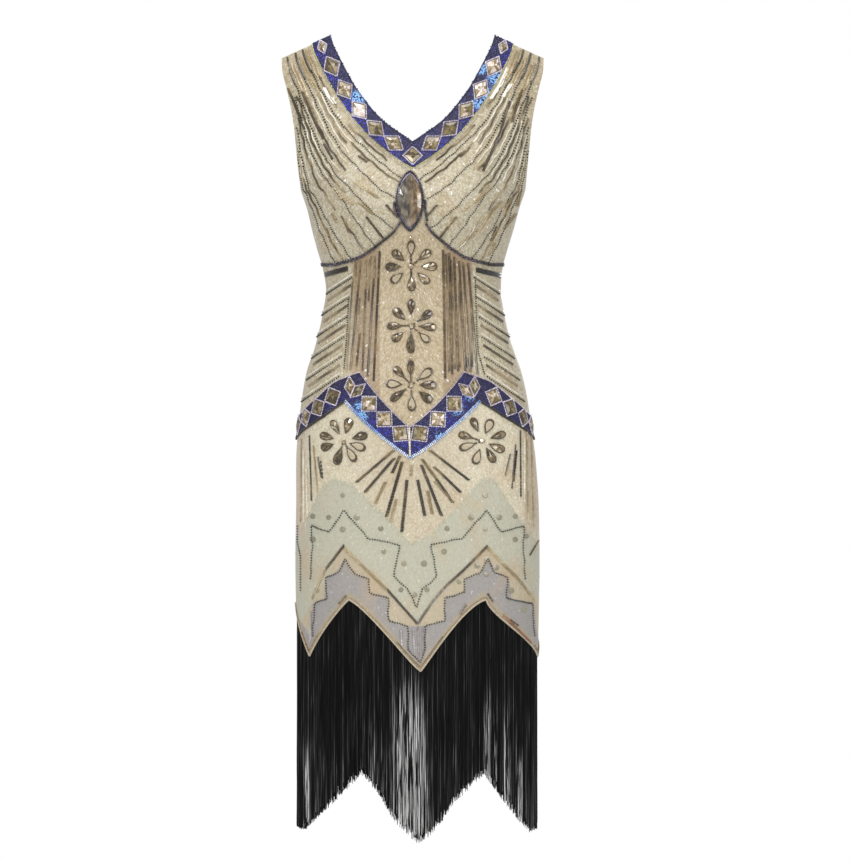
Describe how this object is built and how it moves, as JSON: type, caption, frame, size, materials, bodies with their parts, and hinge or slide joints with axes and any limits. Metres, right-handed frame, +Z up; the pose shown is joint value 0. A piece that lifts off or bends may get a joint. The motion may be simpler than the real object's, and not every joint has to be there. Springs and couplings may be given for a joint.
{
  "type": "flapper dress",
  "caption": "Sleeveless knee-length flapper dress with a V neck, beaded bands, a zigzag hem and long fringe, filled out as when worn and open inside.",
  "frame": {"origin": "midway between the upper ends of the two shoulder seams, where the wearer holds the dress up", "axes": "+Z up, the front faces -Y, +X is the wearer's left"},
  "size_m": [0.346, 0.2432, 1.0635],
  "materials": {
    "beaded_net": "matte beaded net",
    "blue_sequins": "glossy sequins",
    "dark_beads": "glossy glass beads",
    "smoky_stones": "cut glass stones",
    "black_fringe": "satin thread",
    "zip_metal": "antique brass"
  },
  "bodies": {
    "dress": {"bodice_left": "beaded_net", "bodice_right": "beaded_net", "front_skirt": "beaded_net", "back_left": "beaded_net", "back_right": "beaded_net", "neck_band_front": "blue_sequins", "neck_band_back_left": "blue_sequins", "neck_band_back_right": "blue_sequins", "hip_band_front": "blue_sequins", "hip_band_back_left": "blue_sequins", "hip_band_back_right": "blue_sequins", "empire_trim_left": "dark_beads", "empire_trim_right": "dark_beads", "jewel_frame": "dark_beads", "jewel_stone": "smoky_stones", "flower_waist_1": "smoky_stones", "flower_waist_2": "smoky_stones", "flower_waist_3": "smoky_stones", "flower_hip_left": "smoky_stones", "flower_hip_right": "smoky_stones", "fringe_front": "black_fringe", "fringe_back": "black_fringe", "zip_slider": "zip_metal"},
    "pull_tab": {"zip_pull": "zip_metal"}
  },
  "joints": [
    {"name": "pull_hinge", "type": "hinge", "parent": "dress", "child": "pull_tab", "pos_m": [-0.001, 0.09429, -0.15], "axis": [1, 0, 0], "range_deg": [0, 165]}
  ]
}
